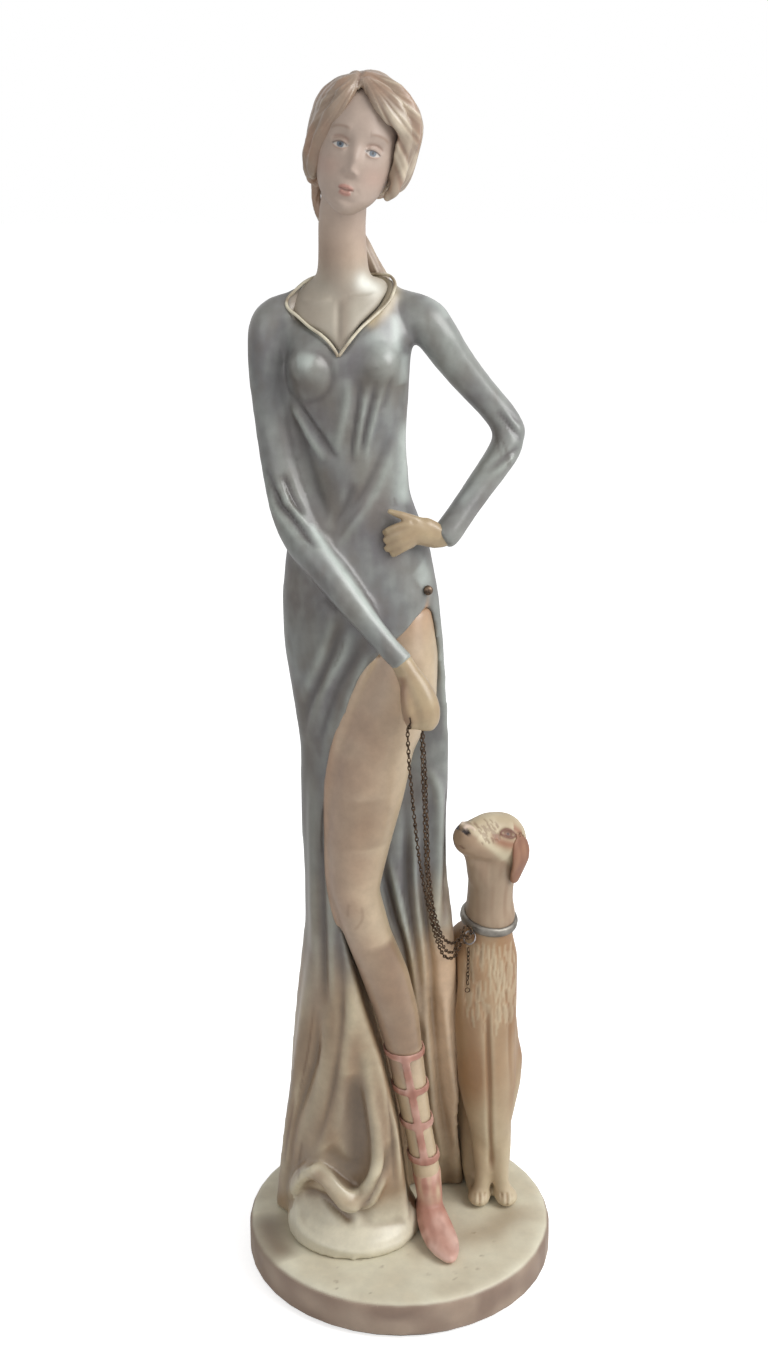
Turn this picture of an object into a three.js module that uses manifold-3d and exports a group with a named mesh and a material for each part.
// A tall cast figurine: a lady in a long slit gown, one hand on her hip and the other holding the chain leash
// of a small seated hound, on a round plinth.
// Millimetres, +Z up. The lady looks towards -Y, and left and right are her own. The origin is the centre of
// the felt's underside. Each colour of the casting is its own piece, with a thin glue line to its neighbours.

import * as THREE from 'three';
import { mergeVertices } from 'three/addons/utils/BufferGeometryUtils.js';
import Module from 'manifold-3d';

const wasm = await Module();
wasm.setup();

// Driving dimensions
const clearance = 0.3;
const feltThickness = 1;
const feltInset = 3;
const plinthRadius = 66.3;
const plinthThickness = 16.6;
const plinthTopRound = 3;
const plinthFootRound = 1.5;
const shinLength = 170;
const thighLength = 115;
const trunkLength = 110;
const neckLength = 40;
const headTilt = 12;
const gownFolds = 9;
const gownFoldDepth = 2.2;
const collarRise = 0.9;
const bustRadius = 9.4;
const cuffLip = 0.7;
const fingerRadius = 1.9;
const lacingThickness = 0.8;
const lacingWidth = 3.6;
const lacingBands = 4;
const buttonRadius = 2.1;
const houndShoulderHeight = 127;
const houndNeckLength = 30;
const earThickness = 2.4;
const collarWidth = 3.4;
const collarThickness = 1.3;
const collarTilt = 9;
const ringRadius = 2.7;
const ringWire = 0.8;
const eyeletWire = 0.8;
const chainWidth = 1.3;
const jumpRingRadius = 0.95;
const jumpRingWire = 0.5;

// Heights that follow from them
const ground = feltThickness + plinthThickness;
const knee = ground + shinLength;
const hip = knee + thighLength;
const shoulder = hip + trunkLength;
const chin = shoulder + neckLength;
const shin = (share) => ground + shinLength * share;
const thigh = (share) => knee + thighLength * share;
const trunk = (share) => hip + trunkLength * share;

const degrees = Math.PI / 180;
const at = (x, y, z) => new THREE.Vector3(x, y, z);

// Solids and cuts

function solid(geometry) {
  const bare = geometry.index ? geometry.clone() : geometry;
  bare.deleteAttribute('normal');
  bare.deleteAttribute('uv');
  const merged = mergeVertices(bare, 1e-4);
  const mesh = new wasm.Mesh({
    numProp: 3,
    vertProperties: new Float32Array(merged.attributes.position.array),
    triVerts: new Uint32Array(merged.index.array),
  });
  return new wasm.Manifold(mesh);
}

function geometryOf(manifold) {
  const mesh = manifold.getMesh();
  const geometry = new THREE.BufferGeometry();
  geometry.setAttribute('position', new THREE.BufferAttribute(new Float32Array(mesh.vertProperties), 3));
  geometry.setIndex(new THREE.BufferAttribute(new Uint32Array(mesh.triVerts), 1));
  return geometry;
}

function joined(first, ...others) {
  return others.reduce((whole, other) => whole.add(other), first);
}

function cut(first, ...tools) {
  return tools.reduce((whole, tool) => whole.subtract(tool), first);
}

// Lofts: a row of a table is a place along the form followed by the sizes of its section there

function rowAt(rows, place) {
  let i = 0;
  while (i < rows.length - 2 && place > rows[i + 1][0]) i += 1;
  const low = rows[i];
  const high = rows[i + 1];
  const before = rows[Math.max(i - 1, 0)];
  const after = rows[Math.min(i + 2, rows.length - 1)];
  const span = high[0] - low[0];
  const f = (place - low[0]) / span;
  return low.map((start, k) => {
    const leave = span * (high[k] - before[k]) / (high[0] - before[0]);
    const arrive = span * (after[k] - start) / (after[0] - low[0]);
    const f2 = f * f;
    const f3 = f2 * f;
    return start * (2 * f3 - 3 * f2 + 1) + leave * (f3 - 2 * f2 + f)
      + high[k] * (3 * f2 - 2 * f3) + arrive * (f3 - f2);
  });
}

// A closed skin over rings of points, with a fan at each end
function skin(rings) {
  const sides = rings[0].length;
  const points = rings.flat();
  const faces = [];
  for (let r = 0; r < rings.length - 1; r += 1) {
    for (let s = 0; s < sides; s += 1) {
      const a = r * sides + s;
      const b = r * sides + (s + 1) % sides;
      faces.push(a, b, b + sides, a, b + sides, a + sides);
    }
  }
  const last = (rings.length - 1) * sides;
  for (const [start, flip] of [[0, true], [last, false]]) {
    const middle = at(0, 0, 0);
    for (let s = 0; s < sides; s += 1) middle.addScaledVector(points[start + s], 1 / sides);
    points.push(middle);
    const hub = points.length - 1;
    for (let s = 0; s < sides; s += 1) {
      const a = start + s;
      const b = start + (s + 1) % sides;
      faces.push(...(flip ? [b, a, hub] : [a, b, hub]));
    }
  }
  const volume = faces.reduce((sum, _, i) => (i % 3 ? sum
    : sum + points[faces[i]].dot(points[faces[i + 1]].clone().cross(points[faces[i + 2]]))), 0);
  if (volume < 0) faces.reverse();
  const geometry = new THREE.BufferGeometry().setFromPoints(points);
  geometry.setIndex(faces);
  return geometry;
}

// Level sections: rows of [height, middle x, middle y, half width, half depth]
function levelForm(rows, steps, sides, grow = 0, relief = () => 0) {
  const rings = [];
  for (let i = 0; i <= steps; i += 1) {
    const share = i / steps;
    const z = THREE.MathUtils.lerp(rows[0][0], rows.at(-1)[0], share);
    const [, x, y, wide, deep] = rowAt(rows, z);
    const end = i === 0 ? -grow : (i === steps ? grow : 0);
    const ring = [];
    for (let s = 0; s < sides; s += 1) {
      const angle = s / sides * 2 * Math.PI;
      const out = grow + relief(angle, z);
      ring.push(at(x + (wide + out) * Math.cos(angle), y + (deep + out) * Math.sin(angle), z + end));
    }
    rings.push(ring);
  }
  return skin(rings);
}

// Sections square to a curve: stations of [x, y, z, radius], or [x, y, z, half width, half thickness]
function limbForm(stations, steps, sides, grow = 0, flatAxis = at(0, 1, 0)) {
  const curve = new THREE.CatmullRomCurve3(stations.map(([x, y, z]) => at(x, y, z)), false, 'centripetal');
  const table = stations.map(([, , , wide, thick = wide], i) => [i, wide, thick]);
  const rings = [];
  for (let i = 0; i <= steps; i += 1) {
    const t = i / steps;
    const [, wide, thick] = rowAt(table, t * (stations.length - 1));
    const along = curve.getTangent(t);
    const middle = curve.getPoint(t);
    if (i === 0) middle.addScaledVector(along, -grow);
    if (i === steps) middle.addScaledVector(along, grow);
    const flat = flatAxis.clone().addScaledVector(along, -flatAxis.dot(along)).normalize();
    const side = along.clone().cross(flat).normalize();
    const ring = [];
    for (let s = 0; s < sides; s += 1) {
      const angle = s / sides * 2 * Math.PI;
      ring.push(middle.clone()
        .addScaledVector(side, (wide + grow) * Math.cos(angle))
        .addScaledVector(flat, (thick + grow) * Math.sin(angle)));
    }
    rings.push(ring);
  }
  return skin(rings);
}

function ellipsoid(x, y, z, rx, ry, rz, across = 16, down = 10) {
  return new THREE.SphereGeometry(1, across, down).scale(rx, ry, rz).translate(x, y, z);
}

// An outline in the XZ plane, from y = front to y = back
function frontPrism(outline, front, back) {
  const shape = new THREE.Shape(outline.map(([x, z]) => new THREE.Vector2(x, z)));
  const geometry = new THREE.ExtrudeGeometry(shape, { depth: back - front, bevelEnabled: false });
  return geometry.rotateX(Math.PI / 2).translate(0, back, 0);
}

const root = new THREE.Group();

function add(name, manifold, color, roughness, metalness = 0) {
  const material = new THREE.MeshStandardMaterial({ color, roughness, metalness });
  const mesh = new THREE.Mesh(geometryOf(manifold), material);
  mesh.name = name;
  root.add(mesh);
}

const ivory = 0xcdc3aa;
const gownBlue = 0x93a09d;
const skinTone = 0xd8c2a8;
const blond = 0xb6946f;
const rose = 0xc58a78;
const bronze = 0x4b3a2a;
const steel = 0x9c9a98;
const tan = 0xa8795f;

// Plinth and felt

const plinthFoot = feltThickness + clearance;
const arcSteps = 2;
const plinthSections = 40;

function plinthProfile() {
  const points = [new THREE.Vector2(0, plinthFoot)];
  const corner = (radius, cx, cz, from, to) => {
    for (let i = 0; i <= arcSteps; i += 1) {
      const a = THREE.MathUtils.lerp(from, to, i / arcSteps) * degrees;
      points.push(new THREE.Vector2(cx + radius * Math.cos(a), cz + radius * Math.sin(a)));
    }
  };
  corner(plinthFootRound, plinthRadius - plinthFootRound, plinthFoot + plinthFootRound, -90, 0);
  corner(plinthTopRound, plinthRadius - plinthTopRound, ground - plinthTopRound, 0, 90);
  points.push(new THREE.Vector2(0, ground));
  return points;
}

function disc(radius, low, high, sections) {
  const wall = [[0, low], [radius, low], [radius, high], [0, high]].map(([x, y]) => new THREE.Vector2(x, y));
  return new THREE.LatheGeometry(wall, sections).rotateX(Math.PI / 2);
}

add('plinth', solid(new THREE.LatheGeometry(plinthProfile(), plinthSections).rotateX(Math.PI / 2)), ivory, 0.5);
add('felt_pad', solid(disc(plinthRadius - feltInset, 0, feltThickness, plinthSections)), 0x3f5a45, 0.95);

// Gown: one casting from the hem to the shoulders

const gownFoot = ground + clearance;
const gownRows = [
  [gownFoot, -11, 9, 43.5, 36],
  [shin(0.12), -11, 8, 41.6, 34],
  [shin(0.26), -11, 6.5, 39.5, 32],
  [shin(0.41), -10.6, 5, 37.4, 29.5],
  [shin(0.56), -10, 3.5, 35.5, 26.5],
  [shin(0.71), -9.3, 1.5, 33.2, 23.5],
  [shin(0.85), -8.8, 0, 31, 21],
  [shin(1), -10.2, -1, 29.6, 19.5],
  [thigh(0.15), -10.4, -1, 30.1, 19.5],
  [thigh(0.31), -10.3, -1, 30.3, 19.5],
  [thigh(0.48), -10.5, -1.5, 30.3, 19.7],
  [thigh(0.61), -12.3, -1.5, 30.4, 20],
  [thigh(0.74), -14.2, -2, 31, 20.5],
  [thigh(0.87), -15.5, -2, 31.3, 20.5],
  [trunk(0), -16, -2, 30.8, 19.5],
  [trunk(0.12), -16.7, -2, 29.5, 18],
  [trunk(0.23), -17, -2, 26.6, 16],
  [trunk(0.34), -17.4, -2, 21.8, 14],
  [trunk(0.46), -18.6, -2, 20.2, 12.9],
  [trunk(0.6), -20.2, -2, 22, 13.5],
  [trunk(0.73), -20.4, -1.5, 23, 15.2],
  [trunk(0.83), -20.4, -1, 23.4, 16],
  [trunk(0.93), -20.6, 0, 24.6, 15.5],
  [trunk(1), -21, 1.5, 24, 14.3],
  [trunk(1.06), -21.2, 3, 19.5, 11.6],
  [trunk(1.12), -21.4, 4.5, 15.2, 9],
];

// Hanging folds start below the hip, deepen to the hem and sweep a little round the figure
function gownRelief(angle, z) {
  const fall = Math.max(0, 1 - (z - ground) / (hip - ground));
  const sweep = 0.9 * fall;
  return gownFoldDepth * fall * (Math.cos(gownFolds * (angle + sweep)) - 0.4);
}

const gownForm = (grow = 0) => solid(levelForm(gownRows, 20, 32, grow, gownRelief));
const bareTorso = (grow) => solid(levelForm(gownRows.filter((row) => row[0] >= trunk(0.6)), 7, 22, grow));

// Neckline: a heart-shaped front opening that runs up behind the neck
const necklineTip = [-23.2, trunk(0.88)];
const necklineOutline = [
  necklineTip,
  [-19.9, trunk(0.925)],
  [-15.5, trunk(0.977)],
  [-9.4, trunk(1.027)],
  [-5.2, trunk(1.07)],
  [-3.6, trunk(1.11)],
  [-6.2, trunk(1.16)],
  [-37.5, trunk(1.16)],
  [-42.8, trunk(1.06)],
  [-43.2, trunk(1.03)],
  [-40.5, trunk(0.99)],
  [-35, trunk(0.964)],
  [-29.4, trunk(0.943)],
  [-25.6, trunk(0.91)],
];
const necklineMiddle = [-22, trunk(1.04)];
const necklineBack = 8;

function neckline(grow, front) {
  const outline = necklineOutline.map(([x, z]) => {
    const away = new THREE.Vector2(x - necklineMiddle[0], z - necklineMiddle[1]);
    away.setLength(away.length() + grow);
    return [necklineMiddle[0] + away.x, necklineMiddle[1] + away.y];
  });
  return solid(frontPrism(outline, front, necklineBack + grow));
}

// Slit: rows of [height, left edge, right edge, y of the cloth behind the leg]
const pastGown = 40;
const slitRows = [
  [ground - 1, 5, pastGown, 18],
  [shin(0.15), 2, pastGown, 15],
  [shin(0.31), -1, pastGown, 11],
  [shin(0.42), -4, pastGown, 8],
  [shin(0.53), -9, pastGown, 4],
  [shin(0.65), -14.8, pastGown, 0.5],
  [shin(0.76), -20, pastGown, -2.5],
  [shin(0.87), -24, pastGown, -4],
  [shin(0.98), -28.7, pastGown, -4],
  [thigh(0.13), -29.7, pastGown, -3.5],
  [thigh(0.35), -29, pastGown, -3],
  [thigh(0.5), -26, 24, -3],
  [thigh(0.61), -23, 16, -3],
  [thigh(0.72), -19, 15.2, -4],
  [thigh(0.81), -13, 14.5, -5],
  [thigh(0.88), -7, 13.6, -7],
  [thigh(0.95), 1.5, 12.8, -9],
  [trunk(0.01), 9.6, 11.4, -11],
];
const slitFront = -70;
const backPleats = 5;
const backPleatDepth = 0.8;

function slit(inset = 0) {
  const rings = [];
  const across = 2 * backPleats;
  const steps = 10;
  for (let i = 0; i <= steps; i += 1) {
    const z = THREE.MathUtils.lerp(slitRows[0][0], slitRows.at(-1)[0], i / steps);
    const [, left, right, behind] = rowAt(slitRows, z);
    const fade = Math.min(1, 2 * (1 - i / steps));
    const ring = [at(right, slitFront, z), at(left + inset, slitFront, z)];
    for (let s = 0; s <= across; s += 1) {
      const pleat = s % 2 ? backPleatDepth : -backPleatDepth;
      ring.push(at(THREE.MathUtils.lerp(left + inset, right, s / across), behind + pleat * fade - inset, z));
    }
    rings.push(ring);
  }
  return solid(skin(rings));
}

// Leg, seen through the slit: rows of [height, middle x, middle y, half width, half depth]
const soleGap = 2;
const legRows = [
  [ground + soleGap + 7, 13.6, -11, 5, 7],
  [shin(0.14), 12, -10, 5.9, 7.2],
  [shin(0.21), 10.2, -9.6, 5.8, 6.6],
  [shin(0.31), 7.1, -10.2, 6.1, 6.9],
  [shin(0.42), 4.2, -11, 7, 7.6],
  [shin(0.53), 1.4, -12, 7.7, 8.4],
  [shin(0.6), -0.5, -12.6, 8.8, 9.2],
  [shin(0.68), -4, -13.3, 9.6, 10],
  [shin(0.77), -8.4, -14.4, 10.2, 10.4],
  [shin(0.83), -12.4, -15.4, 9.8, 10],
  [shin(0.91), -16.4, -16.4, 9.8, 10],
  [shin(0.98), -19, -16.8, 10, 10.6],
  [thigh(0.04), -18.5, -16, 10.9, 11],
  [thigh(0.12), -17, -14.8, 12.4, 12],
  [thigh(0.24), -14.8, -13.5, 14.2, 13],
  [thigh(0.34), -13.2, -12.5, 15.2, 14],
  [thigh(0.45), -11.6, -11.5, 15.8, 15],
  [thigh(0.55), -8, -10.5, 17, 16],
  [thigh(0.66), -3.6, -9.4, 18.2, 16.2],
  [thigh(0.76), -1, -8, 15.6, 15.4],
  [thigh(0.87), 0, -6.6, 13.6, 14],
  [thigh(0.98), 1.5, -5, 10, 10.5],
];
const legForm = (grow = 0) => solid(levelForm(legRows, 14, 14, grow));

// Sleeves and hands
const rightShoulder = [-48, 0.8, trunk(0.995)];
const rightSleeveStations = [
  [-41.5, 2.5, trunk(1.045), 3.2],
  [...rightShoulder, 7.2],
  [-50.6, 0, trunk(0.93), 8],
  [-50.6, -1, trunk(0.775), 7.4],
  [-48.7, -2, trunk(0.6), 7.2],
  [-45.5, -5, trunk(0.43), 7.6],
  [-42.5, -8.5, trunk(0.325), 8],
  [-37.8, -14.5, trunk(0.235), 7.6],
  [-31.2, -20, trunk(0.172), 7],
  [-19.9, -25, trunk(0.05), 6],
  [-8.5, -28.5, thigh(0.928), 4.9],
  [0.3, -31, thigh(0.842), 4.2 + cuffLip],
];
const rightSleeveForm = (grow = 0) => solid(limbForm(rightSleeveStations, 17, 12, grow));

const leftSleeveStations = [
  [-2.5, 3.5, trunk(1.045), 3.6],
  [5.5, 1.4, trunk(0.99), 7.8],
  [11.5, 0.5, trunk(0.945), 8.4],
  [18.5, 2, trunk(0.85), 7.6],
  [29, 5, trunk(0.73), 6.7],
  [37.6, 7, trunk(0.64), 6.4],
  [42, 6.2, trunk(0.57), 6.8],
  [37, 2, trunk(0.484), 6.4],
  [30.8, -2, trunk(0.412), 6],
  [23.4, -8, trunk(0.328), 5.7],
  [17.8, -12.4, trunk(0.262), 5.2 + cuffLip],
];
const leftSleeveForm = (grow = 0) => solid(limbForm(leftSleeveStations, 17, 12, grow));

// A closed fist: the back of the hand with four fingers curled under it
const fistMiddle = at(5.6, -32.5, thigh(0.722));
const rightHandForm = (grow = 0) => {
  const palm = limbForm([
    [-1.6, -30.6, thigh(0.858), 3.3],
    [0.6, -31.2, thigh(0.828), 4],
    [3.2, -31.9, thigh(0.772), 5.9],
    [5.8, -32.3, thigh(0.722), 7.2],
    [7, -32.6, thigh(0.678), 6.9],
    [7, -32.8, thigh(0.646), 4.6],
    [6.8, -32.8, thigh(0.63), 1.6],
  ], 6, 10, grow);
  const fingers = [0, 1, 2, 3].map((i) => limbForm([
    [fistMiddle.x + 4 - 0.4 * i, fistMiddle.y - 6, fistMiddle.z + 3.4 - 3.2 * i, fingerRadius],
    [fistMiddle.x - 1.5, fistMiddle.y - 7.6, fistMiddle.z + 2.6 - 3.2 * i, fingerRadius],
    [fistMiddle.x - 6, fistMiddle.y - 4.6, fistMiddle.z + 1.4 - 3 * i, fingerRadius * 0.9],
    [fistMiddle.x - 6.4, fistMiddle.y - 0.6, fistMiddle.z + 0.4 - 3 * i, fingerRadius * 0.6],
  ], 3, 6, grow));
  return joined(...[palm, ...fingers].map(solid));
};

// The hand on the hip: palm, four fingers side by side and a raised thumb
const leftHandForm = (grow = 0) => {
  const palm = limbForm([
    [18.8, -11.8, trunk(0.245), 3.4, 3],
    [14.5, -14.2, trunk(0.248), 4.6, 3.6],
    [9.9, -15.6, trunk(0.266), 5.8, 3.4],
    [4.9, -16.8, trunk(0.282), 5.4, 3],
    [0.6, -17.2, trunk(0.27), 3.2, 2.2],
  ], 5, 8, grow);
  const fingers = [0, 1, 2, 3].map((i) => limbForm([
    [6 - 0.6 * i, -17.2, trunk(0.312 - 0.026 * i), fingerRadius],
    [-0.6 - 0.3 * i, -17.8, trunk(0.292 - 0.027 * i), fingerRadius * 0.95],
    [-7.6 + 1.5 * i, -17.2, trunk(0.27 - 0.027 * i), fingerRadius * 0.6],
  ], 3, 6, grow));
  const thumb = limbForm([
    [8.4, -16, trunk(0.3), fingerRadius * 1.1],
    [2, -17.6, trunk(0.326), fingerRadius],
    [-5.6, -17.4, trunk(0.35), fingerRadius * 0.55],
  ], 3, 6, grow);
  return joined(...[palm, ...fingers, thumb].map(solid));
};

// Train: a pool of cloth with a wave-shaped rolled hem above it
const trainMiddle = [-20, -10];
const trainForm = (grow = 0) => {
  const pool = levelForm([
    [ground + clearance, ...trainMiddle, 29, 27.5],
    [ground + 2.4, ...trainMiddle, 30.4, 29],
    [ground + 5, trainMiddle[0], trainMiddle[1] + 0.5, 29.6, 28],
    [ground + 10, trainMiddle[0] - 0.5, trainMiddle[1] + 3, 26.5, 23],
    [ground + 17, trainMiddle[0] - 1, trainMiddle[1] + 5, 24, 20],
    [ground + 24, trainMiddle[0] - 2, trainMiddle[1] + 6, 22, 18],
  ], 4, 24, grow);
  const roll = limbForm([
    [-46.6, -4, ground + 11, 2.4, 5],
    [-44.5, -11, ground + 22, 3.4, 5],
    [-40, -17.5, ground + 31.5, 3.6, 5],
    [-35, -22.5, ground + 35, 3.6, 5],
    [-29.5, -25.5, ground + 32, 4, 6],
    [-23.5, -27, ground + 25, 4.8, 8],
    [-17.5, -27.5, ground + 23.5, 4.8, 8],
    [-11.5, -26.5, ground + 29, 4.4, 7],
    [-9, -25, ground + 42, 3.8, 5],
    [-10.5, -23.5, ground + 56, 3.2, 3.6],
    [-14, -22, ground + 72, 2.4, 2.6],
    [-17, -21, ground + 84, 1.2, 1.2],
  ], 15, 8, grow);
  return joined(solid(pool), solid(roll));
};

// Head, neck and chest: one skin-coloured casting

const headHalfHeight = 24.5;
const headMiddle = at(-16.3, -2.5, chin + 21.5);
const onHead = (geometry) => geometry
  .rotateY(headTilt * degrees)
  .translate(headMiddle.x, headMiddle.y, headMiddle.z);

const headRows = [
  [-headHalfHeight, 0, -13, 3, 2.6],
  [-21.5, 0, -9.8, 7.6, 8.4],
  [-17, 0, -6.5, 11, 12.4],
  [-10.5, 0, -3.4, 13.6, 16],
  [-3, 0, -1.6, 15, 18],
  [5, 0, -0.6, 15.4, 18.6],
  [12, 0, 0, 14.2, 17.4],
  [18, 0, 0, 10.6, 13.4],
  [21.8, 0, 0, 4, 5.5],
];
const noseStations = [
  [0, -17.2, 3.5, 1.1],
  [0, -19.2, -1, 1.5],
  [0, -20.6, -5, 1.9],
  [0, -18.4, -7.6, 1.1],
];
const headForm = (grow = 0) => solid(onHead(levelForm(headRows, 9, 14, grow)));
const neckForm = (grow = 0) => solid(levelForm([
  [shoulder - 6, -21.5, 1, 13, 8.4],
  [shoulder + 3, -21.6, 1.6, 15, 9],
  [shoulder + 8, -21.8, 2, 11.6, 9.4],
  [shoulder + 14, -22, 2, 9.8, 9],
  [shoulder + 25, -22.3, 2, 8.9, 8.8],
  [chin - 3, -22.2, 1, 8.8, 8.8],
  [chin + 7, -20.5, 0, 8.4, 8.6],
], 7, 12, grow));

// Hair: a smooth cap that leaves the face open, and a lock drawn behind the neck
const faceOutline = [
  [-13.6, 4], [-11.6, 12], [-7, 18], [-3.6, 20.4], [1, 16.4], [7, 12.6], [12.4, 6], [13.2, -2], [12.6, -12],
  [11, -30], [-12, -30], [-13.8, -10],
];
const hairRows = [
  [-18, 0, 6, 12, 7],
  [-14, 2, 5, 17, 12],
  [-8, 2, 3, 19.6, 16.5],
  [-1, 1.2, 2, 20.4, 19],
  [6, 0.8, 1.5, 20.5, 20.8],
  [13, 0.4, 1.2, 19.2, 20],
  [19, 0, 1, 15, 16],
  [23, 0, 1, 9, 10],
  [25.4, 0, 1, 2.6, 3],
];
const hairSkin = (grow = 0) => solid(onHead(levelForm(hairRows, 9, 18, grow)));
const hairCap = () => {
  const opening = onHead(frontPrism(faceOutline, -60, -4.5));
  return cut(hairSkin(), solid(opening), headForm(clearance), neckForm(clearance));
};
const tressStations = [
  [-29.5, 10.5, chin + 16, 4.6],
  [-27, 13, chin + 5, 4.8],
  [-22, 14.4, chin - 6, 4.4],
  [-14.5, 14.8, chin - 17, 3.8],
  [-8, 14.6, chin - 25, 3.3],
  [-3.6, 16.4, chin - 32, 3],
  [-1.6, 18, chin - 40, 2.4],
  [-1.4, 18.4, chin - 48, 1],
];

const chestPatch = (grow = 0) => bareTorso(grow - collarRise).intersect(neckline(grow - clearance, slitFront));

const neckAndHead = () => joined(
  headForm(),
  neckForm(),
  chestPatch(),
  solid(onHead(limbForm(noseStations, 5, 6))),
);

// Dressed pieces

const bust = (x) => solid(ellipsoid(x, -9.5, trunk(0.845), bustRadius, bustRadius * 0.92, bustRadius, 12, 7));
const gownBody = joined(gownForm(), bust(-33.6), bust(-9));
const gownAround = gownForm(clearance);
const openGownAround = cut(gownAround, slit(clearance));
add('gown', cut(
  gownBody,
  neckline(0, slitFront),
  slit(),
  neckForm(clearance),
  rightSleeveForm(clearance),
  leftSleeveForm(clearance),
  legForm(clearance),
  leftHandForm(clearance),
  trainForm(1.6 * clearance),
), gownBlue, 0.45);
add('gown_train', trainForm(), ivory, 0.5);
add('sleeve_right', cut(rightSleeveForm(), chestPatch(clearance)), gownBlue, 0.45);
add('sleeve_left', cut(leftSleeveForm(), chestPatch(clearance), neckForm(clearance)), gownBlue, 0.45);
add('hand_right', cut(rightHandForm(), rightSleeveForm(clearance)), skinTone, 0.45);
add('hand_left', cut(leftHandForm(), leftSleeveForm(clearance)), skinTone, 0.45);
add('head_and_neck', neckAndHead(), skinTone, 0.45);
add('hair_cap', hairCap(), blond, 0.5);
add('nape_tress', cut(
  solid(limbForm(tressStations, 10, 8)),
  gownAround,
  headForm(clearance),
  neckForm(clearance),
  hairSkin(clearance),
), blond, 0.5);

// Leg and sandal

const shoeStations = [
  [11.6, -1.4, ground + 4.8, 2.6, 2.8],
  [11.8, -3.6, ground + 6, 5.2, 5.6],
  [12.6, -9, ground + 7.6, 6.2, 7.2],
  [13.8, -15, ground + 7.4, 6.8, 7],
  [15.4, -21, ground + 6, 7.4, 5.6],
  [17.6, -28, ground + 4.4, 7.6, 4],
  [19.6, -34, ground + 3.4, 6.4, 3],
  [21.4, -39.4, ground + 2.6, 3.4, 2.1],
  [22, -41, ground + 2.4, 1, 1],
];
const underGround = () => solid(new THREE.BoxGeometry(2 * plinthRadius, 2 * plinthRadius, plinthThickness)
  .translate(0, 0, ground + clearance - plinthThickness / 2));
const shoeForm = (grow = 0) => solid(limbForm(shoeStations, 9, 10, grow, at(0, 0, 1)));

add('leg', cut(legForm(), rightHandForm(clearance)), skinTone, 0.45);
add('sandal_shoe', cut(
  shoeForm(),
  legForm(clearance),
  underGround(),
  trainForm(clearance),
  openGownAround,
), rose, 0.5);

// Bands round the shin, from the top down, joined by one strip down the front
const topBandHeight = shin(0.52);
const lowBandHeight = shin(0.21);
function lacing() {
  const shell = cut(legForm(clearance + lacingThickness), legForm(clearance));
  const bands = Array.from({ length: lacingBands }, (_, i) => {
    const z = THREE.MathUtils.lerp(lowBandHeight, topBandHeight, i / (lacingBands - 1));
    return solid(new THREE.BoxGeometry(60, 60, lacingWidth).translate(0, -10, z));
  });
  const half = lacingWidth / 2;
  const strip = solid(frontPrism([
    [10.6 - half, lowBandHeight],
    [10.6 + half, lowBandHeight],
    [1.8 + half, topBandHeight],
    [1.8 - half, topBandHeight],
  ], -40, -11));
  return shell.intersect(joined(strip, ...bands));
}
add('sandal_lacing', cut(lacing(), openGownAround, shoeForm(clearance)), rose, 0.5);

// Round button at the top of the slit

function gownFront(x, z) {
  const [, cx, cy, wide, deep] = rowAt(gownRows, z);
  return cy - deep * Math.sqrt(1 - ((x - cx) / wide) ** 2);
}
const buttonX = 10.1;
const buttonZ = trunk(0.05);
add('hip_button', cut(
  solid(ellipsoid(buttonX, gownFront(buttonX, buttonZ) - buttonRadius * 0.5, buttonZ,
    buttonRadius, buttonRadius * 0.8, buttonRadius, 12, 8)),
  gownAround,
), bronze, 0.3, 0.8);

// Hound: body cast with its legs and tail, and the head with its neck, parted under the collar

const hound = (share) => ground + houndShoulderHeight * share;
const collarMiddle = at(37.6, 10, hound(1) + houndNeckLength * 0.4);
const neckRadius = 9.6;
const houndNeck = [collarMiddle.x, collarMiddle.y, neckRadius, neckRadius];
const chestRows = [
  [hound(0.2), 40.6, 9, 5, 5],
  [hound(0.28), 40, 8.6, 8.6, 7.6],
  [hound(0.36), 39.2, 8.4, 10.6, 9.6],
  [hound(0.48), 38, 9, 12.8, 12.6],
  [hound(0.64), 36.4, 10, 13.8, 14.6],
  [hound(0.79), 35.2, 10, 15.2, 15.2],
  [hound(0.9), 35.2, 10, 15, 14],
  [hound(0.99), 36.4, 10, 13.4, 11.6],
  [hound(1.04), 37.4, 10, 10, 9.8],
  [hound(1.09), ...houndNeck],
  [hound(1.15), ...houndNeck],
];
const backStations = [
  [35.5, 11, hound(0.84), 13],
  [36.5, 18, hound(0.66), 15],
  [38, 26, hound(0.45), 15.6],
  [36.5, 31, hound(0.26), 13],
  [35.5, 33, ground - 2, 10],
];
const tailStations = [
  [40, 36, ground + 16, 4.4],
  [36, 47, ground + 8, 3.8],
  [26, 50.5, ground + 4.2, 3],
  [15, 45, ground + 3.4, 2.2],
  [9, 39, ground + 3, 1],
];
const foreleg = (top, ankle, paw) => [
  limbForm([
    [top, 10, hound(0.45), 7],
    [(top + ankle) / 2, 9, hound(0.3), 6],
    [ankle, 7.6, hound(0.16), 4.6],
    [ankle, 6, hound(0.08), 3.7],
    [paw, 5, ground + 4.4, 4],
  ], 5, 8),
  ellipsoid(paw, 4.6, ground + 3.6, 5.6, 7, 3.8, 10, 6),
];
const hindLeg = (x) => [
  limbForm([
    [x - 2, 27, hound(0.66), 4],
    [x, 26, hound(0.54), 9],
    [x - 0.4, 25, hound(0.4), 9.6],
    [x - 3, 22, hound(0.2), 7],
    [x - 4, 20, ground + 5, 5],
  ], 6, 10),
  ellipsoid(x - 3, 16, ground + 3.6, 4.6, 10, 3.8, 8, 5),
];
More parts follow.
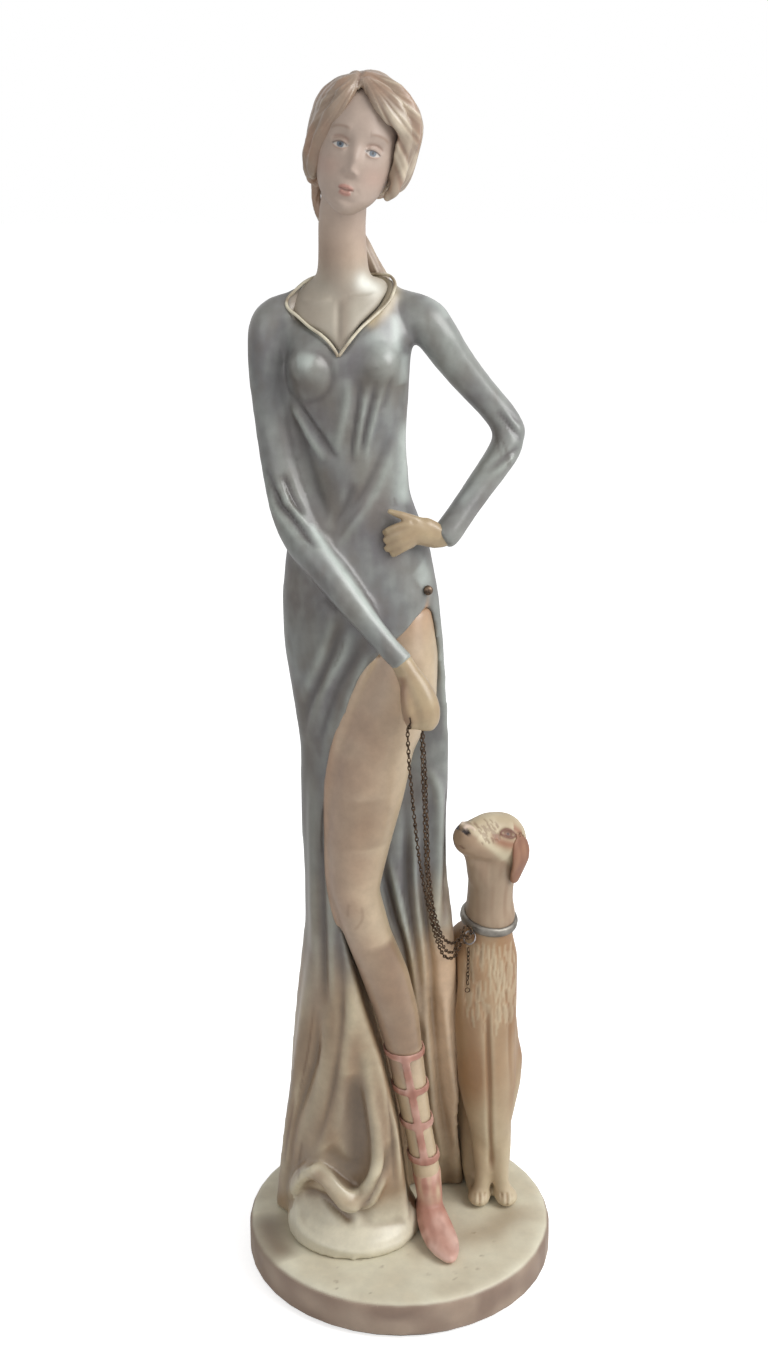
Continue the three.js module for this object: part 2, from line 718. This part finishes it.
const houndParts = [
  levelForm(chestRows, 10, 14),
  ellipsoid(29.5, 15, hound(0.965), 10, 9, 12.5, 10, 6),
  limbForm(backStations, 6, 10),
  ...foreleg(35.6, 37.2, 35.4),
  ...foreleg(42.4, 44.9, 47.6),
  ...hindLeg(45.2),
  ...hindLeg(37),
  limbForm(tailStations, 7, 7),
];

// The collar lies aslant round the neck: front and left side low
const onCollar = (geometry) => geometry
  .rotateX(collarTilt * degrees)
  .rotateY(collarTilt * degrees)
  .translate(...collarMiddle);
const halfSpace = 60;
const collarSide = (side) => solid(onCollar(new THREE.BoxGeometry(halfSpace, halfSpace, halfSpace)
  .translate(0, 0, side * (halfSpace - clearance) / 2)));
add('dog_body', cut(
  joined(...houndParts.map(solid)),
  collarSide(1),
  openGownAround,
  underGround(),
), ivory, 0.55);

const skull = at(40.8, 8, hound(1.385));
const snoutTip = at(23.2, -4, hound(1.43));
const skullRadius = 11.8;
const houndSnout = (share, rise, radius) => {
  const middle = skull.clone().lerp(snoutTip, share);
  return [middle.x, middle.y, middle.z + rise, radius];
};
const houndThroat = (grow = 0) => joined(
  solid(levelForm([
    [hound(1.02), ...houndNeck],
    [hound(1.14), ...houndNeck],
    [hound(1.25), 38.4, 9.4, 9.8, 9.8],
    [hound(1.34), 40, 8.6, 10.4, 10.4],
  ], 5, 16, grow)),
  solid(ellipsoid(...skull, skullRadius + grow, skullRadius - 0.6 + grow, skullRadius + grow, 16, 10)),
);
const snout = limbForm([
  houndSnout(0.1, 0, 10.4),
  houndSnout(0.45, 0, 9.2),
  houndSnout(0.7, 0.4, 7.6),
  houndSnout(0.88, 0.8, 6.2),
  houndSnout(1, 1, 3),
], 6, 12);
const noseTip = ellipsoid(...houndSnout(0.87, 5, 2.2), 2, 2, 8, 5);
add('dog_head', cut(joined(houndThroat(), solid(snout), solid(noseTip)), collarSide(-1)), ivory, 0.55);

// Ears hang from the sides of the skull: rows of [share out, drop from the skull's middle, half width]
const earRows = [
  [1, 4.5, 2.4],
  [1.1, 0, 4.6],
  [1.2, -6, 5.4],
  [1.04, -13, 4],
  [0.94, -17.5, 1.6],
];
const ear = (dx, dy) => cut(
  solid(limbForm(
    earRows.map(([out, rise, wide]) => [skull.x + dx * out, skull.y + dy * out, skull.z + rise, wide, earThickness / 2]),
    7,
    8,
    0,
    at(dx, dy, 0).normalize(),
  )),
  houndThroat(clearance),
);
add('dog_ear_left', ear(8.4, -5.6), tan, 0.6);
add('dog_ear_right', ear(-5.5, 11.5), tan, 0.6);

// Collar with its eyelet and ring

const slantRoom = 0.65;
const collarInner = neckRadius + clearance + slantRoom;
const collarOuter = collarInner + collarThickness;
const collarEdge = 0.35;
function collarBand(grow = 0) {
  const inner = collarInner - grow;
  const outer = collarOuter + grow;
  const half = collarWidth / 2 + grow;
  const section = [
    [inner, -half],
    [outer - collarEdge, -half],
    [outer, collarEdge - half],
    [outer, half - collarEdge],
    [outer - collarEdge, half],
    [inner, half],
    [inner, -half],
  ].map(([x, y]) => new THREE.Vector2(x, y));
  return solid(onCollar(new THREE.LatheGeometry(section, 20).rotateX(Math.PI / 2)));
}
add('dog_collar', collarBand(), steel, 0.45, 0.3);

const torus = (radius, wire, around) => new THREE.TorusGeometry(radius, wire / 2, 5, around);
const eyeletRadius = 1.3;
const eyeletTurn = 232;
const eyeletMiddle = collarMiddle.clone().add(at(collarOuter + 0.8, 0, -1.9).applyAxisAngle(at(0, 0, 1), eyeletTurn * degrees));
add('collar_eyelet', cut(
  solid(torus(eyeletRadius, eyeletWire, 12)
    .rotateX(Math.PI / 2)
    .rotateZ(eyeletTurn * degrees)
    .translate(...eyeletMiddle)),
  collarBand(clearance),
), steel, 0.3, 1);

// The ring hangs outwards and down through the eyelet
const ringSlope = 60;
const ringReach = ringRadius - 0.1;
const ringMiddle = at(ringReach, 0, 0)
  .applyAxisAngle(at(0, 1, 0), ringSlope * degrees)
  .applyAxisAngle(at(0, 0, 1), eyeletTurn * degrees)
  .add(eyeletMiddle);
add('collar_ring', solid(torus(ringRadius, ringWire, 14)
  .rotateY(ringSlope * degrees)
  .rotateZ(eyeletTurn * degrees)
  .translate(...ringMiddle)), steel, 0.3, 1);

// Chain leash: three runs from the fist to the ring, and a tail with a jump ring at its end.
// Route points are [x, y, height above the plinth].

const lowRoute = [
  [2.1, -34.8, 243],
  [2.4, -34.3, 235.4],
  [3, -33.5, 225],
  [3.9, -32.2, 215.3],
  [4.8, -31, 205.4],
  [6, -29.3, 193.4],
  [7.3, -27.5, 182.3],
  [9, -25.1, 171.4],
  [10.8, -22.6, 161.1],
  [12.4, -20.3, 152.9],
  [13.9, -18.2, 145.5],
  [15.8, -15.5, 138.5],
  [17.7, -13, 133.1],
  [20.3, -9.3, 129.5],
  [22.9, -5.7, 129],
  [24.8, -3, 131.1],
  [26.1, -1.2, 134.1],
];
const frontRoute = [
  [7.5, -35.3, 241.2],
  [7.9, -34.7, 230.5],
  [8.2, -34.2, 220.5],
  [8.8, -33.2, 209.4],
  [9.2, -32.5, 198.4],
  [9.5, -32, 189.7],
  [9.9, -31.4, 181.4],
  [10.7, -30, 172.8],
  [11.6, -28.5, 164.2],
  [13, -26.2, 156.4],
  [14.7, -23.3, 148.9],
  [16.7, -19.9, 142.2],
  [18.6, -16.6, 137.1],
  [21, -12.6, 134.1],
  [23.3, -8.7, 134],
  [24.9, -6.1, 135],
  [27.1, -2.3, 133.2],
];
const backRoute = [
  [7.9, -33.2, 241.4],
  [8.8, -31.7, 229.4],
  [9.4, -30.6, 218.9],
  [9.8, -29.9, 207.9],
  [10.2, -29.2, 196.8],
  [10.6, -28.5, 187.8],
  [10.9, -28, 179.8],
  [11.7, -26.5, 171.2],
  [12.7, -24.7, 162.3],
  [14, -22.4, 155.2],
  [15.5, -19.8, 149],
  [17, -17.1, 143.9],
  [19.1, -13.3, 139.5],
  [21.6, -8.9, 136.4],
  [24, -4.6, 135.6],
  [26.1, -0.9, 135.7],
  [26.7, 0.2, 136.2],
];
const tailRoute = [
  [28.6, -2.3, 131.8],
  [28.5, -3, 126],
  [28.4, -3.7, 120],
  [28.3, -4.3, 113.4],
];
const chainSides = 8;

function chain(name, route, steps) {
  const path = new THREE.CatmullRomCurve3(route.map(([x, y, height]) => at(x, y, ground + height)));
  const section = new THREE.Shape(Array.from({ length: chainSides }, (_, i) => (
    new THREE.Vector2(chainWidth / 2, 0).rotateAround(new THREE.Vector2(), i / chainSides * 2 * Math.PI)
  )));
  const tube = new THREE.ExtrudeGeometry(section, { steps, extrudePath: path, bevelEnabled: false });
  add(name, solid(tube), bronze, 0.4, 0.8);
}
chain('leash_run_low', lowRoute, 24);
chain('leash_run_front', frontRoute, 24);
chain('leash_run_back', backRoute, 24);
chain('leash_tail', tailRoute, 5);

const [tailX, tailY, tailEnd] = tailRoute.at(-1);
const jumpRingDrop = jumpRingRadius + jumpRingWire / 2 + clearance;
add('leash_end_ring', solid(torus(jumpRingRadius, jumpRingWire, 8)
  .rotateX(Math.PI / 2)
  .translate(tailX, tailY, ground + tailEnd - jumpRingDrop)), bronze, 0.4, 0.8);

export default root;
